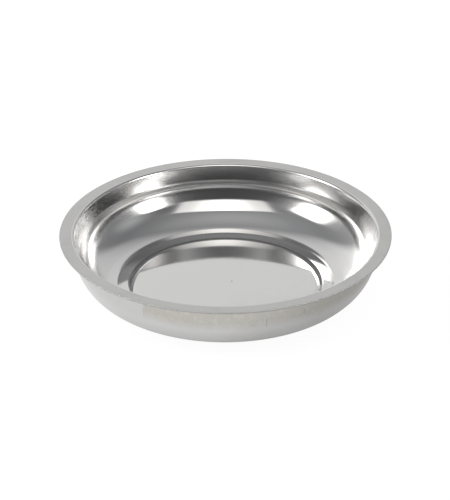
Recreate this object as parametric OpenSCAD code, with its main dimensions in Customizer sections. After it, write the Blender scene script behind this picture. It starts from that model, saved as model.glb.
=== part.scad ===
// Round magnetic parts tray: a pressed steel dish on a rubber-booted ring magnet.
// Millimetres. The origin is the centre of the boot's underside, with +Z up through the dish.

/* [Dish] */
// Outer diameter of the rim
rim_d = 150; // [140:1:170]
// Width of the flat rim
rim_w = 5.4; // [4:0.2:8]
// Thickness of the sheet
sheet = 0.7; // [0.5:0.05:1]
// Depth from the rim's top to the raised centre of the floor
floor_depth = 25.4; // [22:0.2:32]
// Inside radius of the bend between rim and wall
bend_r = 0.5; // [0.3:0.1:1.5]
// Lean of the wall from upright, in degrees
wall_lean = 3.4; // [2:0.2:7]
// Radius of the curve's upper arc, below the wall
upper_r = 20; // [15:0.2:23]
// Slope at which the upper arc begins, in degrees
upper_from = 25; // [18:1:38]
// Radius of the corner between channel and curve
corner_r = 3.8; // [2:0.2:7]
// Turn of that corner, in degrees
corner_turn = 8; // [5:1:14]

/* [Pressed seat] */
// Drop of the ring channel below the raised centre
channel_drop = 0.85; // [0.5:0.05:1.5]
// Inside radius where the channel turns up
channel_r = 3; // [1:0.2:5]
// Radius of the raised centre's edge
seat_edge_r = 8.2; // [3:0.2:11]
// Flat margin between the boot and that edge
seat_margin = 2.4; // [1:0.2:5]
// Width of the channel's flat bottom
channel_flat = 4.5; // [2:0.1:6]

/* [Magnet] */
// Diameter of the ring magnet
magnet_d = 72; // [62:1:80]
// Bore of the ring magnet
magnet_bore = 32; // [26:1:36]
// Thickness of the ring magnet
magnet_t = 7; // [6:0.5:10]
// Chamfer on the magnet's edges
magnet_chamfer = 0.6; // [0.2:0.1:1]

/* [Mounting pad] */
// Thickness of the pad between magnet and dish
pad_t = 0.6; // [0.4:0.1:1.5]
// Step from the magnet's bore out to the pad's hole
pad_inset = 1; // [0.5:0.5:4]

/* [Rubber boot] */
// Thickness of the boot's side
boot_wall = 1.9; // [1.4:0.1:3]
// Thickness of the boot's underside
boot_floor = 1.8; // [1.6:0.1:3]
// Reach of the boot's lip over the magnet
lip_reach = 3; // [1.5:0.5:6]
// Radius of the boot's lower edge
boot_edge_r = 1.2; // [0.4:0.1:1.5]
// Number of grip grooves
tread_count = 3; // [1:1:3]
// Width of each grip groove
tread_w = 1.4; // [0.6:0.1:2]
// Depth of each grip groove
tread_h = 0.5; // [0.2:0.1:0.7]
// Spacing of the grip grooves
tread_pitch = 3.6; // [2.6:0.1:4]

/* [Clamp] */
// Thickness of the clamp plate
plate_t = 0.8; // [0.6:0.1:1]
// Reach of the clamp plate under the magnet
plate_reach = 5; // [3:0.5:7]
// Lean of the cup's side from upright, in degrees
cup_lean = 8; // [4:1:15]

/* [Stud and nut] */
// Thread diameter of the stud
stud_d = 5; // [4:0.5:6]
// Diameter of the stud's weld flange
stud_flange_d = 7; // [6:0.5:9]
// Thickness of the stud's weld flange
stud_flange_t = 0.8; // [0.4:0.1:1.2]
// Length of stud that shows past the nut
stud_show = 0.6; // [0.3:0.1:0.8]
// Chamfer on the stud's tip
stud_chamfer = 0.4; // [0.2:0.1:0.8]
// Width across the nut's flats
nut_flats = 8; // [7:0.5:10]
// Height of the nut
nut_h = 2.7; // [2:0.1:3]
// Width of the spring washer's ring
washer_w = 2; // [1.2:0.1:2.4]
// Thickness of the spring washer
washer_t = 1.2; // [0.8:0.1:1.4]
// Width of the cut in the spring washer
washer_cut = 0.8; // [0.4:0.1:1.2]
// Slant of that cut, in degrees
washer_slant = 20; // [0:5:30]

/* [Clearances] */
// Space round the clamp plate where the base turns under it
turning_gap = 0.4; // [0.2:0.1:0.6]
// Space between the clamp plate and the boot below it
plate_rise = 0.2; // [0.1:0.05:0.3]
// Space between the stud's tip and the boot below it
tip_gap = 1.1; // [0.6:0.1:1.8]
// Space between magnet and boot, and between pad and lip
seating_gap = 0.1; // [0.05:0.05:0.3]
// Space round the stud in the nut
thread_gap = 0.05; // [0.02:0.01:0.1]
// Space round the stud in the washer and the clamp plate
stud_gap = 0.2; // [0.1:0.05:0.4]

/* [Hidden] */

// Fineness of round shapes, and of the arcs in an outline in degrees
round_steps = 160;
arc_step = 5;
// Overrun of a cut past the face that it opens
overrun = 1;

// Heights above the surface that the tray rests on
magnet_top = boot_floor + magnet_t;
seat_z = magnet_top + pad_t;
floor_z = seat_z + sheet;
rim_z = floor_z + floor_depth;
channel_z = floor_z - channel_drop;
plate_z = boot_floor - plate_t;
recess_z = plate_z - plate_rise;
stud_z = recess_z + tip_gap;
nut_z = stud_z + stud_show;
washer_z = nut_z + nut_h;
cup_z = washer_z + washer_t + plate_t;

// Radii
rim_r = rim_d / 2;
mouth_r = rim_r - rim_w;
bend_top_r = bend_r + sheet;
magnet_r = magnet_d / 2;
bore_r = magnet_bore / 2;
boot_r = magnet_r + seating_gap + boot_wall;
lip_r = magnet_r - lip_reach;
seat_r = boot_r + seat_margin;
cup_r = bore_r - turning_gap;
plate_r = bore_r + plate_reach;
stud_r = stud_d / 2;

// The rise from channel to centre is one hollow and one crowned arc of the same turn
rise_turn = acos(1 - channel_drop / (channel_r + seat_edge_r));
rise_w = (channel_r + seat_edge_r) * sin(rise_turn);

// The curve between channel and wall is a corner, a lower and an upper arc, each touching the next. The
// lower arc's radius is the one at which the upper arc touches the leaning wall. Where the wall leaves
// too little room for the upper arc, both arcs take the radius that fits.
wall_top = [mouth_r - bend_top_r * cos(wall_lean), rim_z - bend_top_r * (1 - sin(wall_lean))];
curve_in = seat_r + rise_w + channel_flat;
curve_room = wall_top.x - curve_in - corner_r * sin(corner_turn)
    - (wall_top.y - channel_z - corner_r * (1 - cos(corner_turn))) * tan(wall_lean);
// Share of that room which an arc between two slopes takes up for each millimetre of its radius
function arc_share(a, b) = sin(b) - sin(a) - (cos(a) - cos(b)) * tan(wall_lean);
upper_fit = min(upper_r, curve_room / arc_share(corner_turn, 90 - wall_lean));
lower_r = (curve_room - upper_fit * arc_share(upper_from, 90 - wall_lean))
    / arc_share(corner_turn, upper_from);
corner_at = [curve_in, channel_z + corner_r];
lower_at = corner_at + (corner_r - lower_r) * [sin(corner_turn), -cos(corner_turn)];
upper_at = lower_at + (lower_r - upper_fit) * [sin(upper_from), -cos(upper_from)];

// Angles from a to b in even steps
function sweep(a, b) =
    let (n = max(2, ceil(abs(b - a) / arc_step)))
    [for (i = [0 : n]) a + (b - a) * i / n];

// Points of an arc
function arc(centre, r, a, b) = [for (t = sweep(a, b)) centre + r * [cos(t), sin(t)]];

// Stations of the sheet's inner face, each a radius, a height and the direction that the face looks
function crowned(centre, r, a, b) =
    [for (t = sweep(a, b)) [centre.x + r * cos(t), centre.y + r * sin(t), t]];
function hollow(centre, r, a, b) =
    [for (t = sweep(a, b)) [centre.x + r * cos(t), centre.y + r * sin(t), t + 180]];

// All but the first station, for an arc that starts where the last one ends
function rest(stations) = [for (i = [1 : len(stations) - 1]) stations[i]];

dish_face = concat(
    crowned([mouth_r, rim_z - bend_top_r], bend_top_r, 90, 180 - wall_lean),
    hollow(upper_at, upper_fit, -wall_lean, upper_from - 90),
    rest(hollow(lower_at, lower_r, upper_from - 90, corner_turn - 90)),
    rest(hollow(corner_at, corner_r, corner_turn - 90, -90)),
    hollow([seat_r + rise_w, channel_z + channel_r], channel_r, -90, -90 - rise_turn),
    rest(crowned([seat_r, floor_z - seat_edge_r], seat_edge_r, 90 - rise_turn, 90)),
    [[0, floor_z, 90]]);

// The inner face, back along the outer face, and round the rim's edge
dish_outline = concat(
    [for (s = dish_face) [s.x, s.y]],
    [for (i = [len(dish_face) - 1 : -1 : 0])
        let (s = dish_face[i]) [s.x, s.y] - sheet * [cos(s.z), sin(s.z)]],
    arc([rim_r - sheet / 2, rim_z - sheet / 2], sheet / 2, -90, 90));

boot_outline = concat(
    arc([boot_r - boot_edge_r, boot_edge_r], boot_edge_r, -90, 0),
    [[boot_r, seat_z],
     [lip_r, seat_z],
     [lip_r, magnet_top],
     [magnet_r + seating_gap, magnet_top],
     [magnet_r + seating_gap, boot_floor],
     [plate_r + turning_gap, boot_floor],
     [plate_r + turning_gap, recess_z],
     [0, recess_z],
     [0, 0]]);

// The cup's side leans inwards as it rises into the magnet's bore
cup_top_r = cup_r - (cup_z - boot_floor) * tan(cup_lean);
plate_outline = [
    [stud_r + stud_gap, cup_z],
    [cup_top_r, cup_z],
    [cup_r, boot_floor],
    [plate_r, boot_floor],
    [plate_r, plate_z],
    [cup_r - plate_t, plate_z],
    [cup_top_r - plate_t, cup_z - plate_t],
    [stud_r + stud_gap, cup_z - plate_t]];

magnet_outline = [
    [bore_r + magnet_chamfer, boot_floor],
    [magnet_r - magnet_chamfer, boot_floor],
    [magnet_r, boot_floor + magnet_chamfer],
    [magnet_r, magnet_top - magnet_chamfer],
    [magnet_r - magnet_chamfer, magnet_top],
    [bore_r + magnet_chamfer, magnet_top],
    [bore_r, magnet_top - magnet_chamfer],
    [bore_r, boot_floor + magnet_chamfer]];

stud_outline = [
    [0, seat_z],
    [stud_flange_d / 2, seat_z],
    [stud_flange_d / 2, seat_z - stud_flange_t],
    [stud_r, seat_z - stud_flange_t],
    [stud_r, stud_z + stud_chamfer],
    [stud_r - stud_chamfer, stud_z],
    [0, stud_z]];

// An outline turned round the upright axis
module turned(outline) {
    rotate_extrude($fn = round_steps) polygon(outline);
}

// A flat ring that stands on height z
module ring(outer_r, inner_r, z, h) {
    translate([0, 0, z]) difference() {
        cylinder(r = outer_r, h = h, $fn = round_steps);
        translate([0, 0, -overrun]) cylinder(r = inner_r, h = h + 2 * overrun, $fn = round_steps);
    }
}

// Pressed stainless dish with a flat rim and a raised centre in its floor
module dish() {
    color("silver") turned(dish_outline);
}

// Stud with a weld flange, welded under the dish's centre
module weld_stud() {
    color("lightsteelblue") turned(stud_outline);
}

// Thin foam ring that beds the brittle magnet against the dish
module mounting_pad() {
    color("dimgray") ring(lip_r - seating_gap, bore_r + pad_inset, magnet_top, pad_t);
}

// Hard ferrite ring magnet
module ring_magnet() {
    color("darkslategray") turned(magnet_outline);
}

// Moulded rubber boot that wraps the magnet and gives the tray its foot
module rubber_boot() {
    tread_outer = boot_r - boot_edge_r - tread_w;
    color("black") difference() {
        turned(boot_outline);
        for (i = [0 : tread_count - 1])
            ring(tread_outer - i * tread_pitch, tread_outer - i * tread_pitch - tread_w,
                 -overrun, tread_h + overrun);
    }
}

// Dished steel plate that holds the magnet up against the dish
module clamp_plate() {
    color("lightgray") turned(plate_outline);
}

// Split ring that keeps the nut tight
module spring_washer() {
    inner = stud_r + stud_gap;
    color("gray") difference() {
        ring(inner + washer_w, inner, washer_z, washer_t);
        translate([inner + washer_w / 2, 0, washer_z + washer_t / 2])
            rotate([washer_slant, 0, 0])
                cube([2 * washer_w, washer_cut, 2 * washer_t + overrun], center = true);
    }
}

// Thin hexagon nut, with its corners turned off at both ends
module lock_nut() {
    hex_r = nut_flats / 2 / cos(30);
    bevel = (hex_r - nut_flats / 2) * tan(30);
    color("lightsteelblue") difference() {
        intersection() {
            translate([0, 0, nut_z]) linear_extrude(nut_h) circle(r = hex_r, $fn = 6);
            turned([[0, nut_z], [nut_flats / 2, nut_z], [hex_r, nut_z + bevel],
                    [hex_r, nut_z + nut_h - bevel], [nut_flats / 2, nut_z + nut_h],
                    [0, nut_z + nut_h]]);
        }
        translate([0, 0, nut_z - overrun])
            cylinder(r = stud_r + thread_gap, h = nut_h + 2 * overrun, $fn = round_steps);
    }
}

dish();
weld_stud();
mounting_pad();
ring_magnet();
rubber_boot();
clamp_plate();
spring_washer();
lock_nut();
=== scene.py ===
import math

import bpy
import numpy as np
from mathutils import Matrix, Vector


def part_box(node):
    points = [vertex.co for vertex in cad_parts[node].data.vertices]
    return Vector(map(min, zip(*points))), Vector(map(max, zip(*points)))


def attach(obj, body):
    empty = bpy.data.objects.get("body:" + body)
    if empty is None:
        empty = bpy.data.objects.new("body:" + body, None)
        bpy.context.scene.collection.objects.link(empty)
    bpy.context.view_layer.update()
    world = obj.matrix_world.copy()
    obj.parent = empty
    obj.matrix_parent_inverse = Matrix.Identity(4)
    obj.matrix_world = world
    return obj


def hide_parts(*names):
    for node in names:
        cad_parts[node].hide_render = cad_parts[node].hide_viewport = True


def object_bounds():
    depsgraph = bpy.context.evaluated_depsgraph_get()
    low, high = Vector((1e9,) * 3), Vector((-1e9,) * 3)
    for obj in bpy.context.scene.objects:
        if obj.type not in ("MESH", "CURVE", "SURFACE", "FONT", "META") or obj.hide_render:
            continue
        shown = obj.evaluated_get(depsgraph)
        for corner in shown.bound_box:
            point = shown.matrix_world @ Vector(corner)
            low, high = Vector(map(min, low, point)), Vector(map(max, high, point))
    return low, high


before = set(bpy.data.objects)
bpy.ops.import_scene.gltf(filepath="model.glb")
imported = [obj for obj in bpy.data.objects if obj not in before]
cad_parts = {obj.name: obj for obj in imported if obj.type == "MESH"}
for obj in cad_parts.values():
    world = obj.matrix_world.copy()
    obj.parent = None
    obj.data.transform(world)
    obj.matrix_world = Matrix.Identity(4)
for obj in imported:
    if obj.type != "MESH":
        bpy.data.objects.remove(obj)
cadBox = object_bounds()
mm = 0.001
print("frame loaded with nodes", ", ".join(sorted(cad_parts)))

# where the pieces meet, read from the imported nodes
dishLow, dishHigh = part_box("dish")
padLow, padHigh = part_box("mounting_pad")
magnetLow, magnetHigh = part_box("ring_magnet")
bootLow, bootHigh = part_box("rubber_boot")
plateLow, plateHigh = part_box("clamp_plate")
studLow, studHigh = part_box("weld_stud")
washerLow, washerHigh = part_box("spring_washer")
nutLow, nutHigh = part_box("lock_nut")
rimCentre = Vector((0, 0, dishHigh.z))


# camera: the photograph is 450 x 500 pixels, seen from the front and above the rim's centre
photoView = {
    "imageWidth": 450,
    "imageHeight": 500,
    "rimCentreX": 225.45,  # pixel on which the rim's centre lands
    "rimCentreY": 231.97,
    "focalPixels": 2989.5,
    "distance": 1.35,  # metres from the rim's centre
    "elevation": 27.62,  # degrees above the horizon
    "roll": 0.226,  # degrees
    "sensor": 36.0,  # height in millimetres
    "nearest": 0.01,  # metres from which the camera sees
}


def makeCamera(view):
    lens = bpy.data.cameras.new("photoCamera")
    lens.sensor_fit = "VERTICAL"
    lens.sensor_height = view["sensor"]
    lens.lens = view["focalPixels"] / view["imageHeight"] * view["sensor"]
    lens.shift_x = (view["imageWidth"] / 2 - view["rimCentreX"]) / view["imageHeight"]
    lens.shift_y = (view["rimCentreY"] - view["imageHeight"] / 2) / view["imageHeight"]
    lens.clip_start = view["nearest"]
    camera = bpy.data.objects.new("photoCamera", lens)
    bpy.context.scene.collection.objects.link(camera)
    tilt = math.radians(view["elevation"])
    camera.location = rimCentre + view["distance"] * Vector((0, -math.cos(tilt), math.sin(tilt)))
    turn = Matrix.Rotation(math.pi / 2 - tilt, 3, "X") @ Matrix.Rotation(-math.radians(view["roll"]), 3, "Z")
    camera.rotation_euler = turn.to_euler()
    bpy.context.scene.camera = camera


makeCamera(photoView)
print("camera set")


# node helper: links hold a value or another node's socket for each input
def addNode(tree, kind, links=None, **settings):
    made = tree.nodes.new(kind)
    for key, value in settings.items():
        setattr(made, key, value)
    for key, value in (links or {}).items():
        if isinstance(value, bpy.types.NodeSocket):
            tree.links.new(value, made.inputs[key])
        else:
            made.inputs[key].default_value = value
    return made


def addMath(tree, operation, first, second=0.0, clamp=False):
    made = addNode(tree, "ShaderNodeMath", {0: first, 1: second}, operation=operation, use_clamp=clamp)
    return made.outputs[0]


# value times factor plus shift
def addScaled(tree, value, factor, shift):
    made = addMath(tree, "MULTIPLY_ADD", value, factor)
    made.node.inputs[2].default_value = shift
    return made


# how far a value has come from one bound to the other, as a number between two ends
def addShare(tree, value, bounds, ends=(0.0, 1.0), smooth=False):
    links = {"Value": value, "From Min": bounds[0], "From Max": bounds[1]}
    links.update({"To Min": ends[0], "To Max": ends[1]})
    kind = "SMOOTHSTEP" if smooth else "LINEAR"
    return addNode(tree, "ShaderNodeMapRange", links, interpolation_type=kind).outputs[0]


# a place's distance from a point, as a share of a reach
def addAway(tree, place, point, reach):
    away = addNode(tree, "ShaderNodeVectorMath", {0: place, 1: point}, operation="DISTANCE").outputs["Value"]
    return addMath(tree, "DIVIDE", away, reach)


def addRamp(tree, fac, stops, smooth=False):
    ramp = addNode(tree, "ShaderNodeValToRGB", {"Fac": fac})
    elements = ramp.color_ramp.elements
    while len(elements) < len(stops):
        elements.new(0.5)
    for element, (place, shade) in zip(elements, stops):
        element.position = place
        element.color = (*shade, 1) if isinstance(shade, tuple) else (shade, shade, shade, 1)
    ramp.color_ramp.interpolation = "EASE" if smooth else "LINEAR"
    return ramp.outputs["Color"]


# studio: a grey room, darker behind the camera, with a white backdrop, a window above the camera,
# a soft box on each side and a dim wing on the right
# azimuth runs from the far side round to the right, in degrees
# half sizes and feathers are tangents of angles, and the low feather fades a box's foot
studio = {
    # by the direction's height
    "room": [(0.0, 0.38), (0.4, 0.38), (0.7, 0.32), (0.87, 0.38), (0.95, 0.48), (1.0, 0.57)],
    # by its near (0) to far (1) part
    "nearShade": [(0.0, 0.24), (0.125, 0.3), (0.2, 0.6), (0.3, 0.8), (0.375, 1.0)],
    "leftGain": 0.2,  # the room is brighter on the left
    # by the light's strength as a share of the brightest tint
    "tints": [(0.0, (0.955, 0.965, 1.0)), (0.1, (0.97, 0.975, 1.0)), (0.3, (1.0, 1.0, 1.0)),
              (0.7, (1.0, 0.965, 0.92)), (1.0, (1.0, 0.98, 0.96))],
    "brightestTint": 3.0,
    "boxes": {
        "backdrop": {
            "azimuth": -2, "elevation": 0, "halfWidth": 1.15, "halfHeight": 1.4,
            "feather": 0.3, "topFeather": 0.9, "lowFeather": 0.1, "strength": 0.64, "leftGain": 0.45,
        },
        "window": {
            "azimuth": 178.2, "elevation": 52.7, "halfWidth": 0.56, "halfHeight": 0.27,
            "feather": 0.03, "topFeather": 0.03, "lowFeather": 0.06, "strength": 1.1, "leftGain": 0,
        },
        "windowMiddle": {
            "azimuth": 178.2, "elevation": 52.7, "halfWidth": 0.22, "halfHeight": 0.27,
            "feather": 0.2, "topFeather": 0.03, "lowFeather": 0.06, "strength": 1.5, "leftGain": 0,
        },
        "leftBox": {
            "azimuth": -103.6, "elevation": 24.4, "halfWidth": 0.17, "halfHeight": 0.235,
            "feather": 0.1, "topFeather": 0.1, "lowFeather": 0.1, "strength": 14.0, "leftGain": 0,
        },
        "rightBox": {
            "azimuth": 118.5, "elevation": 19.5, "halfWidth": 0.115, "halfHeight": 0.215,
            "feather": 0.08, "topFeather": 0.08, "lowFeather": 0.1, "strength": 14.0, "leftGain": 0,
        },
        "rightWing": {
            "azimuth": 91, "elevation": 33, "halfWidth": 0.2, "halfHeight": 0.16,
            "feather": 0.19, "topFeather": 0.16, "lowFeather": 0.16, "strength": 0.3, "leftGain": 0,
        },
    },
    "mirrorBounces": 10,  # the bowl's side walls mirror each other many times
    "floorSize": 8.0,
    "floorGap": 0.1,  # keeps the floor and the boot's underside apart, in millimetres
    "floorColour": (0.1, 0.1, 0.1, 1),
    "floorGlow": 0.94,  # what camera and mirror rays see on top of the lit floor
    # the tray's soft shadow, which mirror rays see:
    # two middles in millimetres, each with shades by share of a reach
    "shadowReach": 170.0,
    "shadows": [((85.0, -20.0), [(0.0, 0.58), (0.24, 0.6), (0.4, 0.72), (0.62, 0.94), (0.8, 1.0)]),
                ((0.0, 0.0), [(0.0, 0.36), (0.24, 0.42), (0.35, 0.82), (0.43, 1.0)])],
}


# one soft box in the room: a direction's two tangents about the box's centre,
# cut off smoothly past its edges
def addSoftBox(tree, place, box):
    azimuth, elevation = math.radians(box["azimuth"]), math.radians(box["elevation"])
    level = Vector((math.sin(azimuth), math.cos(azimuth), 0))
    away = level * math.cos(elevation) + Vector((0, 0, math.sin(elevation)))
    right = Vector((math.cos(azimuth), -math.sin(azimuth), 0))
    up = right.cross(away)
    depth, across, rise = (
        addNode(tree, "ShaderNodeVectorMath", {0: place, 1: axis}, operation="DOT_PRODUCT").outputs["Value"]
        for axis in (away, right, up))
    depth = addMath(tree, "MAXIMUM", depth, 0.01)  # keeps the tangents finite
    across = addMath(tree, "ABSOLUTE", addMath(tree, "DIVIDE", across, depth))
    rise = addMath(tree, "DIVIDE", rise, depth)
    edges = ((across, box["halfWidth"], box["feather"]), (rise, box["halfHeight"], box["topFeather"]),
             (addMath(tree, "MULTIPLY", rise, -1.0), box["halfHeight"], box["lowFeather"]))
    leftward = addNode(tree, "ShaderNodeSeparateXYZ", {0: place}).outputs["X"]
    mask = addScaled(tree, leftward, -box["leftGain"] * box["strength"], box["strength"])
    for tangent, half, feather in edges:
        edge = addShare(tree, tangent, (half - feather, half + feather), (1.0, 0.0), smooth=True)
        mask = addMath(tree, "MULTIPLY", edge, mask)
    return mask


def makeRoom(values):
    world = bpy.data.worlds.new("studioRoom")
    bpy.context.scene.world = world
    world.use_nodes = True
    tree = world.node_tree
    tree.nodes.clear()
    place = addNode(tree, "ShaderNodeTexCoord").outputs["Generated"]
    axes = addNode(tree, "ShaderNodeSeparateXYZ", {0: place}).outputs
    room = addRamp(tree, addMath(tree, "MAXIMUM", axes["Z"], 0.0), values["room"])
    shade = addRamp(tree, addScaled(tree, axes["Y"], 0.5, 0.5), values["nearShade"])
    gain = addScaled(tree, axes["X"], -values["leftGain"], 1.0)
    light = addMath(tree, "MULTIPLY", room, addMath(tree, "MULTIPLY", shade, gain))
    for box in values["boxes"].values():
        light = addMath(tree, "ADD", light, addSoftBox(tree, place, box))
    tint = addRamp(tree, addMath(tree, "DIVIDE", light, values["brightestTint"]), values["tints"])
    lit = addNode(tree, "ShaderNodeBackground", {"Color": tint, "Strength": light})
    white = addNode(tree, "ShaderNodeBackground", {"Color": (1, 1, 1, 1), "Strength": 1.0})
    seen = addNode(tree, "ShaderNodeLightPath").outputs["Is Camera Ray"]
    mixed = addNode(tree, "ShaderNodeMixShader", {0: seen, 1: lit.outputs[0], 2: white.outputs[0]})
    addNode(tree, "ShaderNodeOutputWorld", {"Surface": mixed.outputs[0]})


def makeFloor(values):
    half = values["floorSize"] / 2
    corners = np.array([[-half, -half, 0], [half, -half, 0], [half, half, 0], [-half, half, 0]])
    corners[:, 2] = cadBox[0].z - values["floorGap"] * mm
    mesh = bpy.data.meshes.new("studioFloor")
    mesh.from_pydata(corners.tolist(), [], [(0, 1, 2, 3)])
    floor = bpy.data.objects.new("studioFloor", mesh)
    bpy.context.scene.collection.objects.link(floor)
    material = bpy.data.materials.new("paleFloor")
    material.use_nodes = True
    tree = material.node_tree
    tree.nodes.clear()
    matte = addNode(tree, "ShaderNodeBsdfDiffuse", {"Color": values["floorColour"]})
    rays = addNode(tree, "ShaderNodeLightPath").outputs
    place = addNode(tree, "ShaderNodeTexCoord").outputs["Object"]
    mirrored = rays["Is Glossy Ray"]
    for (right, beyond), shades in values["shadows"]:
        middle = (right * mm, beyond * mm, cadBox[0].z)
        share = addAway(tree, place, middle, values["shadowReach"] * mm)
        mirrored = addMath(tree, "MULTIPLY", mirrored, addRamp(tree, share, shades))
    seen = addMath(tree, "ADD", rays["Is Camera Ray"], rays["Is Transmission Ray"], clamp=True)
    seen = addMath(tree, "ADD", seen, mirrored, clamp=True)
    strength = addMath(tree, "MULTIPLY", seen, values["floorGlow"])
    glow = addNode(tree, "ShaderNodeEmission", {"Strength": strength})
    both = addNode(tree, "ShaderNodeAddShader", {0: matte.outputs[0], 1: glow.outputs[0]})
    addNode(tree, "ShaderNodeOutputMaterial", {"Surface": both.outputs[0]})
    mesh.materials.append(material)


makeRoom(studio)
makeFloor(studio)
bpy.context.scene.view_settings.view_transform = "Standard"
bpy.context.scene.cycles.glossy_bounces = studio["mirrorBounces"]
print("studio lit with", len(studio["boxes"]), "soft boxes")


# profiles: rows of radius, height and the outward normal's two parts, in millimetres
# an arc's point is its centre plus radius times (cos, sin), and its normal points from or to that centre
def arcRows(centre, radius, start, end, steps, inward=False):
    angle = np.radians(np.linspace(start, end, steps))
    normal = np.stack([np.cos(angle), np.sin(angle)], -1)
    return np.hstack([np.asarray(centre) + radius * normal, -normal if inward else normal])


# a straight run between two points, whose normal lies to the left of its direction
def lineRows(start, end, steps):
    start, end = np.asarray(start, float), np.asarray(end, float)
    share = np.linspace(0, 1, steps)[:, None]
    along = (end - start) / np.linalg.norm(end - start)
    normal = np.tile([-along[1], along[0]], (steps, 1))
    return np.hstack([start + share * (end - start), normal])


# an outline of straight runs whose corners are rounded: each corner's arc touches both runs beside it
# corners hold radius, height and fillet, and the outside lies to the left of the way along
def roundedRows(corners, closed=True, steps=6):
    corners = np.array(corners, float)
    if closed:
        corners = np.vstack([corners[-1:], corners, corners[:1]])
    points, radii = corners[:, :2], corners[1:-1, 2:]
    along = np.diff(points, axis=0)
    along /= np.linalg.norm(along, axis=1, keepdims=True)
    left = along[:, ::-1] * [-1, 1]
    arriving, leaving = along[:-1], along[1:]
    cross = arriving[:, 0] * leaving[:, 1] - arriving[:, 1] * leaving[:, 0]
    turn = np.arctan2(cross, (arriving * leaving).sum(1))[:, None]
    bulge = np.sign(turn) * radii
    centre = points[1:-1] - arriving * radii * np.tan(np.abs(turn) / 2) + left[:-1] * bulge
    angle = np.arctan2(left[:-1, 1:], left[:-1, :1]) + turn * np.linspace(0, 1, steps)
    normal = np.stack([np.cos(angle), np.sin(angle)], -1)
    rows = np.concatenate([centre[:, None] - bulge[:, None] * normal, normal], -1).reshape(-1, 4)
    if closed:
        return rows
    ends = np.hstack([points[[0, -1]], left[[0, -1]]])
    return np.vstack([ends[:1], rows, ends[1:]])


# points at a radius, a turn and a height in millimetres
def roundPoints(radius, turn, height):
    return np.stack([radius * np.cos(turn), radius * np.sin(turn), height + 0 * turn], -1) * mm


# closed skin over a grid of points: rows join up at the ends or at two tips,
# and steps join up or end in caps
def gridPiece(name, points, tips=None, capped=False, normals=None, sharp=180.0):
    count, segments = points.shape[:2]
    ring, step = np.meshgrid(np.arange(count if tips is None else count - 1),
                             np.arange(segments - 1 if capped else segments), indexing="ij")
    nextRing, nextStep = (ring + 1) % count, (step + 1) % segments
    corners = [ring * segments + step, nextRing * segments + step,
               nextRing * segments + nextStep, ring * segments + nextStep]
    faces = np.stack(corners, -1).reshape(-1, 4).tolist()
    points = points.reshape(-1, 3)
    around = np.arange(segments)
    after = (around + 1) % segments
    if tips is not None:
        first, outer = np.full(segments, len(points)), (count - 1) * segments
        points = np.vstack([points, tips])
        faces += np.stack([first, around, after], -1).tolist()
        faces += np.stack([first + 1, outer + after, outer + around], -1).tolist()
    if capped:
        end = np.arange(count) * segments
        faces += [end[::-1].tolist(), (end + segments - 1).tolist()]
    mesh = bpy.data.meshes.new(name)
    mesh.from_pydata(points.tolist(), [], faces)
    mesh.polygons.foreach_set("use_smooth", np.ones(len(mesh.polygons), bool))
    mesh.update()
    if normals is None:
        mesh.set_sharp_from_angle(angle=math.radians(sharp))
    else:
        mesh.normals_split_custom_set_from_vertices(normals.tolist())
    piece = bpy.data.objects.new(name, mesh)
    bpy.context.scene.collection.objects.link(piece)
    return piece


# surface of revolution: each profile row is carried round the upright axis in even turns
def turnedPiece(name, rows, segments, poles=False):
    turn = np.linspace(0, 2 * np.pi, segments, endpoint=False)
    cosine, sine = np.cos(turn), np.sin(turn)
    radius, height, normalR, normalZ = (column[:, None] for column in rows.T)
    points = roundPoints(radius, turn, height)
    normals = np.stack([normalR * cosine, normalR * sine, normalZ + 0 * cosine], -1)
    if not poles:
        return gridPiece(name, points, normals=normals.reshape(-1, 3))
    tips = points[[0, -1], 0] * [0, 0, 1]
    tipNormals = np.array([[0, 0, np.sign(rows[0, 3])], [0, 0, np.sign(rows[-1, 3])]])
    normals = np.vstack([normals[1:-1].reshape(-1, 3), tipNormals])
    return gridPiece(name, points[1:-1], tips=tips, normals=normals)


# dish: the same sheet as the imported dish, with finer curves
dishShape = {
    "sheet": 0.7,
    "rimWidth": 5.4,
    "bendRadius": 0.5,  # inside radius between rim and wall
    "wallLean": 3.4,  # degrees
    "cornerRadius": 3.8,  # where the channel turns into the wall's curve
    "cornerTurn": 8.0,  # degrees
    "upperRadius": 20.0,
    "upperFrom": 25.0,  # slope at which the upper arc takes over from the lower one, in degrees
    "channelTurn": 3.0,  # radius where the channel turns up
    "seatEdge": 8.2,  # radius of the raised centre's edge
    "seatMargin": 2.4,  # from the boot to that edge
    "channelFlat": 4.5,
    "wallMargin": 0.1,  # the wall's finish starts this far above the raised centre
    # rows on each stretch of the profile
    "steps": {"centre": 9, "crown": 14, "hollow": 12, "corner": 10, "lower": 24, "upper": 44, "wall": 8,
              "bend": 14, "rim": 5, "edge": 12},
    "segments": 320,
}


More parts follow.
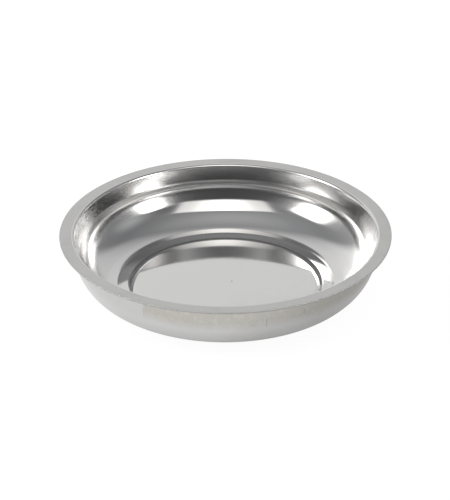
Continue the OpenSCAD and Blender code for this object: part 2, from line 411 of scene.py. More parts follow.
# inner face from the axis out to the rim: flat centre, crowned and hollow arcs of the rise, flat channel,
# corner, lower and upper arcs of the curve, leaning wall and bend
# the lower arc's radius is the one that lets the upper arc touch the wall
def dishFace(shape):
    lean = math.radians(shape["wallLean"])
    floorZ = padHigh.z / mm + shape["sheet"]
    channelZ = dishLow.z / mm + shape["sheet"]
    rimZ = dishHigh.z / mm
    mouth = dishHigh.x / mm - shape["rimWidth"]
    bend = shape["bendRadius"] + shape["sheet"]
    seat = bootHigh.x / mm + shape["seatMargin"]
    crown, hollow = shape["seatEdge"], shape["channelTurn"]
    reach = crown + hollow
    riseTurn = math.acos(1 - (floorZ - channelZ) / reach)
    channelIn = seat + reach * math.sin(riseTurn)
    curveIn = channelIn + shape["channelFlat"]
    wallTop = (mouth - bend * math.cos(lean), rimZ - bend * (1 - math.sin(lean)))
    corner, upper = shape["cornerRadius"], shape["upperRadius"]
    first, second = math.radians(shape["cornerTurn"]), math.radians(shape["upperFrom"])
    across = wallTop[0] - curveIn - corner * math.sin(first) - upper * (math.cos(lean) - math.sin(second))
    rise = wallTop[1] - channelZ - corner * (1 - math.cos(first))
    rise -= upper * (math.cos(second) - math.sin(lean))
    lower = (across - rise * math.tan(lean)) / (
        math.sin(second) - math.sin(first) - (math.cos(first) - math.cos(second)) * math.tan(lean))
    cornerAt = np.array([curveIn, channelZ + corner])
    lowerAt = cornerAt + (corner - lower) * np.array([math.sin(first), -math.cos(first)])
    upperAt = lowerAt + (lower - upper) * np.array([math.sin(second), -math.cos(second)])
    turns = -90, -90 + shape["cornerTurn"], -90 + shape["upperFrom"], -shape["wallLean"]
    steps = shape["steps"]
    upperArc = arcRows(upperAt, upper, turns[2], turns[3], steps["upper"], inward=True)
    turn = math.degrees(riseTurn)
    return np.vstack([
        lineRows((0, floorZ), (seat, floorZ), steps["centre"])[:-1],
        arcRows((seat, floorZ - crown), crown, 90, 90 - turn, steps["crown"]),
        arcRows((channelIn, channelZ + hollow), hollow, -90 - turn, -90, steps["hollow"], inward=True)[1:],
        arcRows(cornerAt, corner, turns[0], turns[1], steps["corner"], inward=True),
        arcRows(lowerAt, lower, turns[1], turns[2], steps["lower"], inward=True)[1:],
        upperArc[1:],
        lineRows(upperArc[-1, :2], wallTop, steps["wall"])[1:-1],
        arcRows((mouth, rimZ - bend), bend, 180 - shape["wallLean"], 90, steps["bend"]),
    ])


# the inner face, the rim and its round edge, and back along the outside at the sheet's thickness
def makeDish(shape):
    face = dishFace(shape)
    sheet = shape["sheet"]
    channelTop = padHigh.z / mm + sheet + shape["wallMargin"]
    rimZ, edgeR = dishHigh.z / mm, dishHigh.x / mm - sheet / 2
    rim = lineRows(face[-1, :2], (edgeR, rimZ), shape["steps"]["rim"])[1:-1]
    edge = arcRows((edgeR, rimZ - sheet / 2), sheet / 2, 90, -90, shape["steps"]["edge"])
    under = np.vstack([face, rim])[::-1].copy()
    under[:, :2] -= sheet * under[:, 2:]
    under[:, 2:] *= -1
    rows = np.vstack([face, rim, edge, under])
    dish = turnedPiece("dishShell", rows, shape["segments"], poles=True)
    # finishes along the profile: 0 polished floor and channel, 1 drawn wall, 2 satin rim, 3 its edge,
    # 4 satin outside
    floorRows = np.count_nonzero(np.cumprod(face[:, 1] < channelTop))
    finish = np.concatenate([np.full(floorRows, 0), np.full(len(face) - 1 - floorRows, 1),
                             np.full(1 + len(rim), 2), np.full(len(edge), 3), np.full(len(under), 4)])
    bands = np.repeat(finish[1:-2], shape["segments"])
    tips = np.repeat([finish[0], finish[-1]], shape["segments"])
    return dish, np.concatenate([bands, tips]).astype(np.int32)


dish, dishFinish = makeDish(dishShape)
print("dish shell has", len(dish.data.polygons), "faces")


# boot: the moulded rubber cover of the magnet and the tray's foot, with rounded grip grooves underneath
bootShape = {
    "magnetRoom": 0.1,  # space round the magnet
    "plateRoom": 0.4,  # space round the clamp plate
    "plateRise": 0.2,  # space below it
    "lipReach": 3.0,  # how far the lip lies over the magnet
    "lowerEdge": 1.2,
    "upperEdge": 0.35,
    "innerEdge": 0.2,
    "grooves": 3,
    "grooveWidth": 1.4,
    "grooveDepth": 0.5,
    "groovePitch": 3.6,
    "grooveEdge": 0.22,
    "segments": 160,
}


# half section from the axis along the recess, round the magnet's seat and the lip, down the side
# and back along the underside, which steps up at each groove
def makeBoot(shape):
    bootR, topZ, lipZ = bootHigh.x / mm, bootHigh.z / mm, magnetHigh.z / mm
    seatZ, recessZ = magnetLow.z / mm, plateLow.z / mm - shape["plateRise"]
    seatR, plateR = magnetHigh.x / mm + shape["magnetRoom"], plateHigh.x / mm + shape["plateRoom"]
    lipR = magnetHigh.x / mm - shape["lipReach"]
    inner, footZ = shape["innerEdge"], bootLow.z / mm
    corners = [(0, recessZ, 0), (plateR, recessZ, inner), (plateR, seatZ, inner), (seatR, seatZ, inner),
               (seatR, lipZ, inner), (lipR, lipZ, inner), (lipR, topZ, inner),
               (bootR, topZ, shape["upperEdge"]), (bootR, footZ, shape["lowerEdge"])]
    outerR = bootR - shape["lowerEdge"] - shape["grooveWidth"]
    for groove in range(shape["grooves"]):
        edge, grooveZ = shape["grooveEdge"], footZ + shape["grooveDepth"]
        edgeR = outerR - groove * shape["groovePitch"]
        innerR = edgeR - shape["grooveWidth"]
        corners += [(edgeR, footZ, edge), (edgeR, grooveZ, edge),
                    (innerR, grooveZ, edge), (innerR, footZ, edge)]
    corners.append((0, footZ, 0))
    return turnedPiece("bootShell", roundedRows(corners, closed=False), shape["segments"], poles=True)


# magnet: a pressed ferrite ring whose chamfers have slightly broken edges
magnetShape = {"bore": 32.0, "chamfer": 0.6, "brokenEdge": 0.12, "segments": 160}


# closed section: top face, outer side, underside and bore, with a chamfer at each corner
def makeMagnet(shape):
    outer, bore, cut = magnetHigh.x / mm, shape["bore"] / 2, shape["chamfer"]
    low, high, edge = magnetLow.z / mm, magnetHigh.z / mm, shape["brokenEdge"]
    corners = [(bore + cut, high), (outer - cut, high), (outer, high - cut), (outer, low + cut),
               (outer - cut, low), (bore + cut, low), (bore, low + cut), (bore, high - cut)]
    rows = roundedRows([(*corner, edge) for corner in corners])
    return turnedPiece("ferriteRing", rows, shape["segments"])


# pad: a punched foam ring between magnet and dish
padShape = {"hole": 34.0, "softEdge": 0.2, "segments": 160}


# closed section: a flat rectangle with soft corners
def makePad(shape):
    outer, hole, edge = padHigh.x / mm, shape["hole"] / 2, shape["softEdge"]
    low, high = padLow.z / mm, padHigh.z / mm
    return turnedPiece("foamRing", roundedRows([
        (hole, high, edge), (outer, high, edge), (outer, low, edge), (hole, low, edge)]), shape["segments"])


# clamp plate: a pressed cup with a flat flange that carries the magnet
plateShape = {
    "sheet": 0.8,
    "magnetBore": 32.0,
    "boreRoom": 0.4,  # space between cup and bore
    "cupLean": 8.0,  # degrees
    "hole": 5.4,
    "outerBend": 0.9,
    "innerBend": 0.3,
    "cutEdge": 0.15,
    "segments": 120,
}


# closed section: the cup's top, its leaning side and the flange, and back at the sheet's thickness below
def makePlate(shape):
    sheet, hole = shape["sheet"], shape["hole"] / 2
    cupR, flangeZ = shape["magnetBore"] / 2 - shape["boreRoom"], magnetLow.z / mm
    cupZ, plateZ, plateR = plateHigh.z / mm, plateLow.z / mm, plateHigh.x / mm
    topR = cupR - (cupZ - flangeZ) * math.tan(math.radians(shape["cupLean"]))
    wide, tight, cut = shape["outerBend"], shape["innerBend"], shape["cutEdge"]
    return turnedPiece("clampCup", roundedRows([
        (hole, cupZ, cut), (topR, cupZ, wide), (cupR, flangeZ, tight), (plateR, flangeZ, cut),
        (plateR, plateZ, cut), (cupR - sheet, plateZ, wide), (topR - sheet, cupZ - sheet, tight),
        (hole, cupZ - sheet, cut),
    ]), shape["segments"])


# thread: shared by the stud and the nut, so that they mesh
threadShape = {"pitch": 0.8, "depth": 0.46, "crest": 0.2, "fade": 0.5}  # crest is the flat share of a turn


# how deep the thread cuts at a height and a turn: a wave that climbs one pitch in a turn,
# with flat crests and roots
def threadCut(height, turn, shape):
    wave = np.abs(((height / shape["pitch"] - turn / (2 * np.pi)) % 1) * 2 - 1)
    return shape["depth"] * np.clip((wave - shape["crest"]) / (1 - 2 * shape["crest"]), 0, 1)


# stud: threaded shank with a chamfered tip and a round flange that is welded to the dish
studShape = {"diameter": 5.0, "flange": 7.0, "flangeThickness": 0.8, "tipChamfer": 0.4, "weldFillet": 0.3,
             "flangeEdge": 0.2, "tipEdge": 0.05, "sharpAngle": 40, "rows": 150, "segments": 96}


# rows from the flange's top round its edge and down the shank to the tip, pressed in by the thread,
# which fades out at both ends of the shank
def makeStud(shape):
    topZ, tipZ, shankR = studHigh.z / mm, studLow.z / mm, shape["diameter"] / 2
    underZ, flangeR = topZ - shape["flangeThickness"], shape["flange"] / 2
    chamfer, edge, tipEdge = shape["tipChamfer"], shape["flangeEdge"], shape["tipEdge"]
    outline = roundedRows([
        (0, topZ, 0), (flangeR, topZ, edge), (flangeR, underZ, edge), (shankR, underZ, shape["weldFillet"]),
        (shankR, tipZ + chamfer, tipEdge), (shankR - chamfer, tipZ, tipEdge), (0, tipZ, 0),
    ], closed=False)[:, :2]
    top = underZ - shape["weldFillet"]
    shank = np.linspace(top, tipZ + chamfer, shape["rows"])[1:-1]
    isTip = np.cumsum(outline[:, 1] <= tipZ + 2 * chamfer) > 0
    rows = np.vstack([outline[~isTip], np.stack([np.full(len(shank), shankR), shank], -1), outline[isTip]])
    turn = np.linspace(0, 2 * np.pi, shape["segments"], endpoint=False)
    radius, height = rows[:, :1], rows[:, 1:]
    fade = np.clip(np.minimum(top - height, height - tipZ) / threadShape["fade"], 0, 1) * (radius > 0)
    radius = radius - threadCut(height, turn, threadShape) * fade
    points = roundPoints(radius, turn, height)
    tips = np.array([[0, 0, topZ], [0, 0, tipZ]]) * mm
    return gridPiece("threadedStud", points[1:-1], tips=tips, sharp=shape["sharpAngle"])


# spring washer: a square-edged ring, cut through at a slant
washerShape = {"hole": 5.4, "cut": 0.8, "slant": 20.0, "edge": 0.12, "sharpAngle": 40, "segments": 90}


# the section is carried round from one side of the cut to the other,
# and each height starts later by the slant
def makeWasher(shape):
    low, high, hole = washerLow.z / mm, washerHigh.z / mm, shape["hole"] / 2
    outer, edge = washerHigh.y / mm, shape["edge"]
    section = roundedRows([(hole, high, edge), (outer, high, edge), (outer, low, edge), (hole, low, edge)])
    radius, height = section[:, :1], section[:, 1:2]
    slant = math.radians(shape["slant"])
    lag = -math.tan(slant) * (height - (low + high) / 2)
    half = shape["cut"] / 2 / math.cos(slant)
    first, last = np.arcsin((lag + half) / radius), 2 * np.pi + np.arcsin((lag - half) / radius)
    turn = first + (last - first) * np.linspace(0, 1, shape["segments"])
    points = roundPoints(radius, turn, height)
    return gridPiece("splitWasher", points, capped=True, sharp=shape["sharpAngle"])


# nut: a thin hexagon with its corners turned off and a threaded hole
nutShape = {"flats": 8.0, "hole": 5.1, "bevelSlope": 30.0, "countersink": 0.35, "sharpAngle": 28,
            "outerRows": 40, "threadRows": 120, "segments": 180}


# outside, a row's radius is the hexagon's at that turn, limited by a cone at each end
# inside, it is the hole's radius, narrowed by the thread, which a countersink cuts away at both ends
def makeNut(shape):
    low, high, half, hole = nutLow.z / mm, nutHigh.z / mm, shape["flats"] / 2, shape["hole"] / 2
    turn = np.linspace(0, 2 * np.pi, shape["segments"], endpoint=False)
    hexagon = half / np.cos(turn % (math.pi / 3) - math.pi / 6)
    spread = 0.5 - 0.5 * np.cos(np.linspace(0, np.pi, shape["outerRows"]))  # denser at both ends
    height = (high - (high - low) * spread)[:, None]
    fromEnd = np.minimum(high - height, height - low)
    outside = np.minimum(hexagon, half + fromEnd / math.tan(math.radians(shape["bevelSlope"])))
    innerHeight = np.linspace(low, high, shape["threadRows"])[:, None]
    reach = np.clip(np.minimum(high - innerHeight, innerHeight - low) / shape["countersink"], 0, 1)
    inside = hole + (1 - reach) * shape["countersink"] - threadCut(innerHeight, turn, threadShape) * reach
    radius, height = np.vstack([outside, inside]), np.vstack([height, innerHeight])
    points = roundPoints(radius, turn, height)
    return gridPiece("hexNut", points, sharp=shape["sharpAngle"])


boot = makeBoot(bootShape)
magnet = makeMagnet(magnetShape)
pad = makePad(padShape)
plate = makePlate(plateShape)
stud = makeStud(studShape)
washer = makeWasher(washerShape)
nut = makeNut(nutShape)
print("base and clamp pieces made")


# starts a shared node group with its inputs, which have a value each, and its outputs
def startGroup(name, inputs, outputs):
    tree = bpy.data.node_groups.new(name, "ShaderNodeTree")
    for label, value in inputs.items():
        socket = tree.interface.new_socket(name=label, in_out="INPUT", socket_type="NodeSocketFloat")
        socket.default_value = value
    for label in outputs:
        tree.interface.new_socket(name=label, in_out="OUTPUT", socket_type="NodeSocketFloat")
    return tree


# uses a shared node group, with values or sockets for its inputs
def addGroup(tree, group, **inputs):
    return addNode(tree, "ShaderNodeGroup", inputs, node_tree=group).outputs


# where a point lies on a turned piece: its turn from the front, its height and its way along the profile
def makeTurnedPlace():
    tree = startGroup("turnedPlace", {}, ("Turn", "Height", "Along"))
    place = addNode(tree, "ShaderNodeTexCoord").outputs["Object"]
    axes = addNode(tree, "ShaderNodeSeparateXYZ", {0: place}).outputs
    flat = addNode(tree, "ShaderNodeCombineXYZ", {"X": axes["X"], "Y": axes["Y"]})
    radius = addNode(tree, "ShaderNodeVectorMath", {0: flat.outputs[0]}, operation="LENGTH").outputs["Value"]
    turn = addMath(tree, "ARCTAN2", axes["X"], addMath(tree, "MULTIPLY", axes["Y"], -1.0))
    along = addMath(tree, "ADD", radius, axes["Z"])
    addNode(tree, "NodeGroupOutput", {"Turn": turn, "Height": axes["Z"], "Along": along})
    return tree


# long fine lines round the axis: noise that is stretched round the turn and squeezed along the profile
def makeDrawnLines():
    tree = startGroup("drawnLines", {"Fineness": 4000.0, "Sweep": 1.5}, ("Lines",))
    given = addNode(tree, "NodeGroupInput").outputs
    place = addGroup(tree, turnedPlace)
    across = addMath(tree, "MULTIPLY", addMath(tree, "SINE", place["Turn"]), given["Sweep"])
    forth = addMath(tree, "MULTIPLY", addMath(tree, "COSINE", place["Turn"]), given["Sweep"])
    along = addMath(tree, "MULTIPLY", place["Along"], given["Fineness"])
    vector = addNode(tree, "ShaderNodeCombineXYZ", {"X": across, "Y": forth, "Z": along}).outputs[0]
    noise = addNode(tree, "ShaderNodeTexNoise", {"Vector": vector, "Scale": 1.0, "Detail": 3.0})
    addNode(tree, "NodeGroupOutput", {"Lines": noise.outputs["Fac"]})
    return tree


smudgeNoise = {"Detail": 5.0, "Roughness": 0.6}
smudgeContrast = 4.0


# soft blotches from handling: noise above a level that the cover sets, with its contrast raised, from 0 to 1
def makeSmudges():
    tree = startGroup("handlingSmudges", {"Size": 40.0, "Cover": 0.5}, ("Smudge",))
    given = addNode(tree, "NodeGroupInput").outputs
    place = addNode(tree, "ShaderNodeTexCoord").outputs["Object"]
    noise = addNode(tree, "ShaderNodeTexNoise", {"Vector": place, "Scale": given["Size"], **smudgeNoise})
    level = addMath(tree, "SUBTRACT", 1.0, given["Cover"])
    lifted = addMath(tree, "SUBTRACT", noise.outputs["Fac"], level)
    raised = addMath(tree, "MULTIPLY", lifted, smudgeContrast, clamp=True)
    addNode(tree, "NodeGroupOutput", {"Smudge": raised})
    return tree


# fine grain: small noise with its contrast raised, as a value from 0 to 1
def makeGrain():
    tree = startGroup("fineGrain", {"Size": 3000.0, "Contrast": 2.0}, ("Grain",))
    given = addNode(tree, "NodeGroupInput").outputs
    place = addNode(tree, "ShaderNodeTexCoord").outputs["Object"]
    noise = addNode(tree, "ShaderNodeTexNoise", {"Vector": place, "Scale": given["Size"], "Detail": 3.0})
    offMiddle = addMath(tree, "SUBTRACT", noise.outputs["Fac"], 0.5)
    raised = addMath(tree, "MULTIPLY", offMiddle, given["Contrast"])
    addNode(tree, "NodeGroupOutput", {"Grain": addMath(tree, "ADD", raised, 0.5, clamp=True)})
    return tree


turnedPlace = makeTurnedPlace()
drawnLines = makeDrawnLines()
smudges = makeSmudges()
fineGrain = makeGrain()
print("shared finishes ready")


def startMaterial(name, metallic, colour, roughness):
    material = bpy.data.materials.new(name)
    material.use_nodes = True
    shader = material.node_tree.nodes["Principled BSDF"]
    shader.inputs["Metallic"].default_value = metallic
    shader.inputs["Base Color"].default_value = (*colour, 1)
    shader.inputs["Roughness"].default_value = roughness
    return material, material.node_tree, shader


def addMix(tree, factor, first, second):
    made = addNode(tree, "ShaderNodeMix", {"Factor": factor}, data_type="RGBA")
    for key, shade in (("A", first), ("B", second)):
        if isinstance(shade, bpy.types.NodeSocket):
            tree.links.new(shade, made.inputs[key])
        else:
            made.inputs[key].default_value = (*shade, 1)
    return made.outputs["Result"]


bumpDepth = 0.1  # millimetres, at strength 1


def addBump(tree, shader, strength, height):
    links = {"Strength": strength, "Distance": bumpDepth * mm, "Height": height}
    bump = addNode(tree, "ShaderNodeBump", links)
    tree.links.new(bump.outputs[0], shader.inputs["Normal"])


# spreads reflections round the upright axis
def addSpread(tree, shader, amount):
    shader.inputs["Anisotropic"].default_value = amount
    tangent = addNode(tree, "ShaderNodeTangent", direction_type="RADIAL", axis="Z")
    tree.links.new(tangent.outputs[0], shader.inputs["Tangent"])


# inside of the bowl: a mirror with faint lines round the axis and soft smudges
# the drawn wall spreads its reflections round the axis, because drawing leaves fine upright marks
bowlFinish = {
    "clean": (0.575, 0.575, 0.572),
    "smudgeSize": 26.0,
    "smudgeCover": 0.46,
    "lineFineness": 2600.0,
    "lineSweep": 1.2,
    "lineLevels": (0.5, 0.75),  # where in the lines' noise their tone starts and is full
}
floorFinish = {
    **bowlFinish,
    "dull": (0.535, 0.535, 0.53),
    "lined": (0.565, 0.565, 0.562),  # in the darkest fine lines
    "roughness": [(0.0, 0.05), (0.47, 0.05), (0.53, 0.07)],  # by share of the way along the profile
    "smudgeRoughness": 0.04,
    "spread": 0.0,
    "lineBump": 0.02,
    # the weld's print: millimetres right of and beyond the centre, and fading by share of its size
    "print": {"right": 2.8, "beyond": 0.1, "size": 0.55, "tone": (0.3, 0.29, 0.28),
              "fade": [(0.0, 1.0), (0.6, 0.8), (1.0, 0.0)]},
}
wallFinish = {
    **bowlFinish,
    "dull": (0.566, 0.566, 0.563),
    "lined": (0.56, 0.56, 0.557),
    "roughness": [(0.53, 0.08), (0.74, 0.09), (0.8, 0.13), (0.86, 0.15), (0.93, 0.15)],
    "smudgeRoughness": 0.006,
    "spread": 0.95,
    "lineBump": 0.0008,
}


# a small dark spot on the floor, where the stud's weld prints through
def addPrint(tree, tone, spot):
    place = addNode(tree, "ShaderNodeTexCoord").outputs["Object"]
    middle = (spot["right"] * mm, spot["beyond"] * mm, padHigh.z + dishShape["sheet"] * mm)
    share = addAway(tree, place, middle, spot["size"] * mm)
    return addMix(tree, addRamp(tree, share, spot["fade"], smooth=True), tone, spot["tone"])


def makePolishedSteel(name, values):
    material, tree, shader = startMaterial(name, 1.0, values["clean"], values["roughness"][0][1])
    lines = addGroup(tree, drawnLines, Fineness=values["lineFineness"], Sweep=values["lineSweep"])[0]
    smudge = addGroup(tree, smudges, Size=values["smudgeSize"], Cover=values["smudgeCover"])[0]
    tone = addMix(tree, smudge, values["clean"], values["dull"])
    tone = addMix(tree, addShare(tree, lines, values["lineLevels"]), tone, values["lined"])
    if "print" in values:
        tone = addPrint(tree, tone, values["print"])
    tree.links.new(tone, shader.inputs["Base Color"])
    along = addMath(tree, "DIVIDE", addGroup(tree, turnedPlace)["Along"], dishHigh.x + dishHigh.z)
    rough = addMath(tree, "ADD", addRamp(tree, along, values["roughness"]),
                    addMath(tree, "MULTIPLY", smudge, values["smudgeRoughness"]))
    tree.links.new(rough, shader.inputs["Roughness"])
    addBump(tree, shader, values["lineBump"], lines)
    addSpread(tree, shader, values["spread"])
    return material


# rim, its edge and the outside: satin steel
rimFinish = {
    "clean": (0.45, 0.45, 0.445), "dull": (0.41, 0.41, 0.405), "roughness": (0.18, 0.28), "spread": 0.0,
    "lineFineness": 5200.0, "lineSweep": 2.0, "lineBump": 0.1, "smudgeSize": 60.0, "smudgeCover": 0.48,
}
edgeFinish = {
    "clean": (0.58, 0.58, 0.575), "roughness": (0.58, 0.66), "spread": 0.3,
    "lineFineness": 5200.0, "lineSweep": 2.0, "lineBump": 0.05,
    # painted shade: tones by share of the sheet's thickness, darker towards the edge's foot to stand in for
    # the dark line under the rim
    "paintedShadeByHeight": [(0.0, 0.25), (0.35, 0.3), (0.55, 0.45), (0.8, 0.5), (1.0, 0.48)],
}
outsideFinish = {
    "clean": (0.565, 0.563, 0.56), "dull": (0.53, 0.528, 0.52), "roughness": (0.16, 0.3), "spread": 0.0,
    "lineFineness": 4200.0, "lineSweep": 2.0, "lineBump": 0.08, "smudgeSize": 45.0, "smudgeCover": 0.48,
    "stains": [(0.34, (0.545, 0.525, 0.49)), (0.5, (0.48, 0.468, 0.432)), (0.66, (0.525, 0.495, 0.468))],
    "stainGrain": {"Scale": 320.0, "Detail": 6.0, "Roughness": 0.7},
    "stainTurns": (-32.2, -30.8, 70.0, 115.0),  # degrees from the front: start, full, fading, end
    "stainDepths": (9.0, 14.0),  # millimetres below the rim: full, end
    "raggedSize": 90.0,
    "raggedCover": 0.62,
    "raggedDepth": 1.5,  # by how many millimetres the stain's lower end is ragged
    # turn in degrees, first and last depth below the rim and half width in millimetres, strength
    "marks": [(15.0, 7.4, 12.4, 0.35, 0.32), (-31.5, 5.9, 12.8, 0.4, 0.14), (30.0, 6.4, 9.6, 0.4, 0.16),
              (10.0, 10.2, 11.0, 0.8, 0.2), (-47.5, 4.9, 5.5, 0.6, 0.35)],
    "markTone": (0.16, 0.15, 0.13),
    "markCore": (0.4, 0.6),  # share of a mark's width and of its length that has its full strength
}


# one mark on the outside: a thin upright stroke at a turn, between two depths below the rim
def addMark(tree, place, mark, core):
    turn, top, bottom, halfWidth = mark
    arc = halfWidth * mm / dishHigh.x
    aside = addMath(tree, "ABSOLUTE", addScaled(tree, place["Turn"], 1.0, -math.radians(turn)))
    half = (bottom - top) / 2 * mm
    middle = dishHigh.z - (top + bottom) / 2 * mm
    away = addMath(tree, "ABSOLUTE", addScaled(tree, place["Height"], 1.0, -middle))
    return addMath(tree, "MULTIPLY", addShare(tree, aside, (arc, arc * core[0])),
                   addShare(tree, away, (half, half * core[1])))


# water stain: it starts sharply at one turn, fades out round the other way and ends some way below the rim
def addStain(tree, place, values):
    ragged = addGroup(tree, smudges, Size=values["raggedSize"], Cover=values["raggedCover"])[0]
    first, full, fading, last = (math.radians(angle) for angle in values["stainTurns"])
    begin = addShare(tree, place["Turn"], (first, full))
    finish = addShare(tree, place["Turn"], (last, fading))
    depth = addMath(tree, "SUBTRACT", dishHigh.z, place["Height"])
    depth = addMath(tree, "ADD", depth, addMath(tree, "MULTIPLY", ragged, values["raggedDepth"] * mm))
    shallow, deep = values["stainDepths"]
    above = addShare(tree, depth, (deep * mm, shallow * mm))
    return addMath(tree, "MULTIPLY", addMath(tree, "MULTIPLY", begin, finish), above)


# satin steel: brushed round the axis, with a painted shade by height or soft blotches,
# and where asked stained and marked
def makeSatinSteel(name, values):
    material, tree, shader = startMaterial(name, 1.0, values["clean"], values["roughness"][0])
    lines = addGroup(tree, drawnLines, Fineness=values["lineFineness"], Sweep=values["lineSweep"])[0]
    place = addGroup(tree, turnedPlace)
    # painted shade: where asked, the tone darkens towards the sheet's foot, standing in for the dark line
    # under the rim's edge
    if "paintedShadeByHeight" in values:
        share = addShare(tree, place["Height"], (dishHigh.z - dishShape["sheet"] * mm, dishHigh.z))
        tone = addRamp(tree, share, values["paintedShadeByHeight"])
    else:
        smudge = addGroup(tree, smudges, Size=values["smudgeSize"], Cover=values["smudgeCover"])[0]
        tone = addMix(tree, smudge, values["clean"], values["dull"])
    if "stains" in values:
        where = addNode(tree, "ShaderNodeTexCoord").outputs["Object"]
        noise = addNode(tree, "ShaderNodeTexNoise", {"Vector": where, **values["stainGrain"]}).outputs["Fac"]
        tone = addMix(tree, addStain(tree, place, values), tone, addRamp(tree, noise, values["stains"]))
    for *mark, strength in values.get("marks", ()):
        shown = addMath(tree, "MULTIPLY", addMark(tree, place, mark, values["markCore"]), strength)
        tone = addMix(tree, shown, tone, values["markTone"])
    tree.links.new(tone, shader.inputs["Base Color"])
    tree.links.new(addShare(tree, lines, (0.0, 1.0), values["roughness"]), shader.inputs["Roughness"])
    addBump(tree, shader, values["lineBump"], lines)
    addSpread(tree, shader, values["spread"])
    return material


# in the order of the dish's finish numbers
for finishMade in (
        makePolishedSteel("polishedFloor", floorFinish), makePolishedSteel("drawnWall", wallFinish),
        makeSatinSteel("satinRim", rimFinish), makeSatinSteel("rimEdge", edgeFinish),
        makeSatinSteel("satinOutside", outsideFinish)):
    dish.data.materials.append(finishMade)
dish.data.polygons.foreach_set("material_index", dishFinish)
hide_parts("dish")
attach(dish, "tray")
print("dish finished")


# the parts of a finish that every piece below has: two tones by a mask, where asked a tint that
# rises between two heights, roughness by the mask, and bump by a height
def finishSurface(tree, shader, values, mask, height):
    tone = addMix(tree, mask, values["clean"], values["maskedTone"])
    if "tint" in values:
        bounds = [level * mm for level in values["tintHeights"]]
        risen = addShare(tree, addGroup(tree, turnedPlace)["Height"], bounds, (0.0, values["tintStrength"]))
        tone = addMix(tree, risen, tone, values["tint"])
    tree.links.new(tone, shader.inputs["Base Color"])
    low, high = values["roughness"]
    tree.links.new(addScaled(tree, mask, high - low, low), shader.inputs["Roughness"])
    addBump(tree, shader, values["bump"], height)


# rubber: a fine moulded grain, with pale dust held in the grip grooves
rubberFinish = {
    "clean": (0.022, 0.022, 0.024), "maskedTone": (0.1, 0.095, 0.088), "roughness": (0.55, 0.8), "bump": 0.5,
    "grainSize": 4200.0, "grainContrast": 2.5, "dustSize": 160.0, "dustCover": 0.55,
    "dustTop": 0.55,  # millimetres above the ground
    "dustHeights": [(0.0, 0.12), (0.2, 0.2), (0.5, 0.8), (0.95, 0.8), (1.0, 0.05)],  # by share of that
}


def makeRubber(name, values):
    material, tree, shader = startMaterial(name, 0.0, values["clean"], values["roughness"][0])
    grain = addGroup(tree, fineGrain, Size=values["grainSize"], Contrast=values["grainContrast"])[0]
    dust = addGroup(tree, smudges, Size=values["dustSize"], Cover=values["dustCover"])[0]
    share = addMath(tree, "DIVIDE", addGroup(tree, turnedPlace)["Height"], values["dustTop"] * mm)
    inGroove = addRamp(tree, share, values["dustHeights"])
    finishSurface(tree, shader, values, addMath(tree, "MULTIPLY", dust, inGroove), grain)
    return material


# ferrite: dark grey, ground flat in fine lines, with small pale chips
ferriteFinish = {
    "clean": (0.06, 0.062, 0.068), "maskedTone": (0.16, 0.16, 0.165), "roughness": (0.42, 0.65), "bump": 0.25,
    "lineFineness": 5200.0, "lineSweep": 3.0, "grainSize": 2400.0, "grainContrast": 1.6, "grainWear": 0.25,
    "chipSize": 900.0, "chips": [(0.0, 1.0), (0.16, 0.7), (0.24, 0.0)],  # by distance from a chip's middle
}


def makeFerrite(name, values):
    material, tree, shader = startMaterial(name, 0.0, values["clean"], values["roughness"][0])
    lines = addGroup(tree, drawnLines, Fineness=values["lineFineness"], Sweep=values["lineSweep"])[0]
    grain = addGroup(tree, fineGrain, Size=values["grainSize"], Contrast=values["grainContrast"])[0]
    place = addNode(tree, "ShaderNodeTexCoord").outputs["Object"]
    cells = addNode(tree, "ShaderNodeTexVoronoi", {"Vector": place, "Scale": values["chipSize"]})
    chips = addRamp(tree, cells.outputs["Distance"], values["chips"])
    mask = addMath(tree, "MAXIMUM", addMath(tree, "MULTIPLY", chips, grain),
                   addMath(tree, "MULTIPLY", grain, values["grainWear"]))
    finishSurface(tree, shader, values, mask, addMath(tree, "SUBTRACT", lines, chips))
    return material


# foam: open pores painted darker than the lighter walls between them, a painted shade in the pores
foamFinish = {
    "clean": (0.1, 0.1, 0.105), "maskedTone": (0.035, 0.035, 0.037), "roughness": (0.8, 0.95), "bump": 0.8,
    "poreSize": 2200.0, "pores": [(0.0, 1.0), (0.35, 0.85), (0.6, 0.0)],  # by distance from a pore's middle
}


def makeFoam(name, values):
    material, tree, shader = startMaterial(name, 0.0, values["clean"], values["roughness"][0])
    place = addNode(tree, "ShaderNodeTexCoord").outputs["Object"]
    cells = addNode(tree, "ShaderNodeTexVoronoi", {"Vector": place, "Scale": values["poreSize"]})
    pores = addRamp(tree, cells.outputs["Distance"], values["pores"], smooth=True)
    # painted shade: the pores' middles take the darker masked tone
    finishSurface(tree, shader, values, pores, addMath(tree, "MULTIPLY", pores, -1.0))
    return material


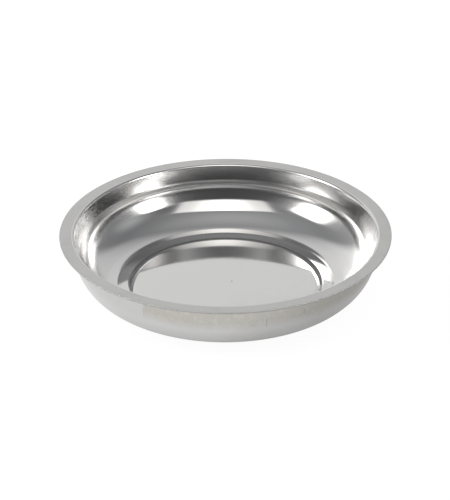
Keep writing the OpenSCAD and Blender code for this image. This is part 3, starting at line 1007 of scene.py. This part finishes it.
# plain metals: two tones in soft blotches over fine turned lines; the stud is heat-tinted towards its weld
zincFinish = {
    "clean": (0.6, 0.61, 0.63), "maskedTone": (0.5, 0.51, 0.49), "roughness": (0.24, 0.42), "bump": 0.12,
    "blotchSize": 150.0, "blotchCover": 0.52, "lineFineness": 3800.0, "lineSweep": 1.0,
}
springFinish = {
    "clean": (0.2, 0.195, 0.19), "maskedTone": (0.1, 0.098, 0.095), "roughness": (0.22, 0.5), "bump": 0.2,
    "blotchSize": 420.0, "blotchCover": 0.52, "lineFineness": 5200.0, "lineSweep": 1.0,
}
studFinish = {
    "clean": (0.55, 0.55, 0.55), "maskedTone": (0.43, 0.425, 0.415), "roughness": (0.26, 0.44), "bump": 0.15,
    "blotchSize": 300.0, "blotchCover": 0.52, "lineFineness": 6400.0, "lineSweep": 1.0,
    "tint": (0.34, 0.27, 0.2), "tintStrength": 0.8,
    "tintHeights": (7.6, 9.4),  # millimetres above the ground
}


def makePlainMetal(name, values):
    material, tree, shader = startMaterial(name, 1.0, values["clean"], values["roughness"][0])
    lines = addGroup(tree, drawnLines, Fineness=values["lineFineness"], Sweep=values["lineSweep"])[0]
    blotch = addGroup(tree, smudges, Size=values["blotchSize"], Cover=values["blotchCover"])[0]
    finishSurface(tree, shader, values, blotch, lines)
    return material


# each piece takes the place of its node, rides its body and takes its material
def placePiece(piece, node, body, material):
    piece.data.materials.append(material)
    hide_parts(node)
    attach(piece, body)


zinc = makePlainMetal("brightZinc", zincFinish)
placePiece(boot, "rubber_boot", "magnet_base", makeRubber("mouldedRubber", rubberFinish))
placePiece(magnet, "ring_magnet", "magnet_base", makeFerrite("groundFerrite", ferriteFinish))
placePiece(pad, "mounting_pad", "magnet_base", makeFoam("blackFoam", foamFinish))
placePiece(plate, "clamp_plate", "tray", zinc)
placePiece(nut, "lock_nut", "tray", zinc)
placePiece(washer, "spring_washer", "tray", makePlainMetal("springSteel", springFinish))
placePiece(stud, "weld_stud", "tray", makePlainMetal("turnedStud", studFinish))
print("base and clamp pieces finished")
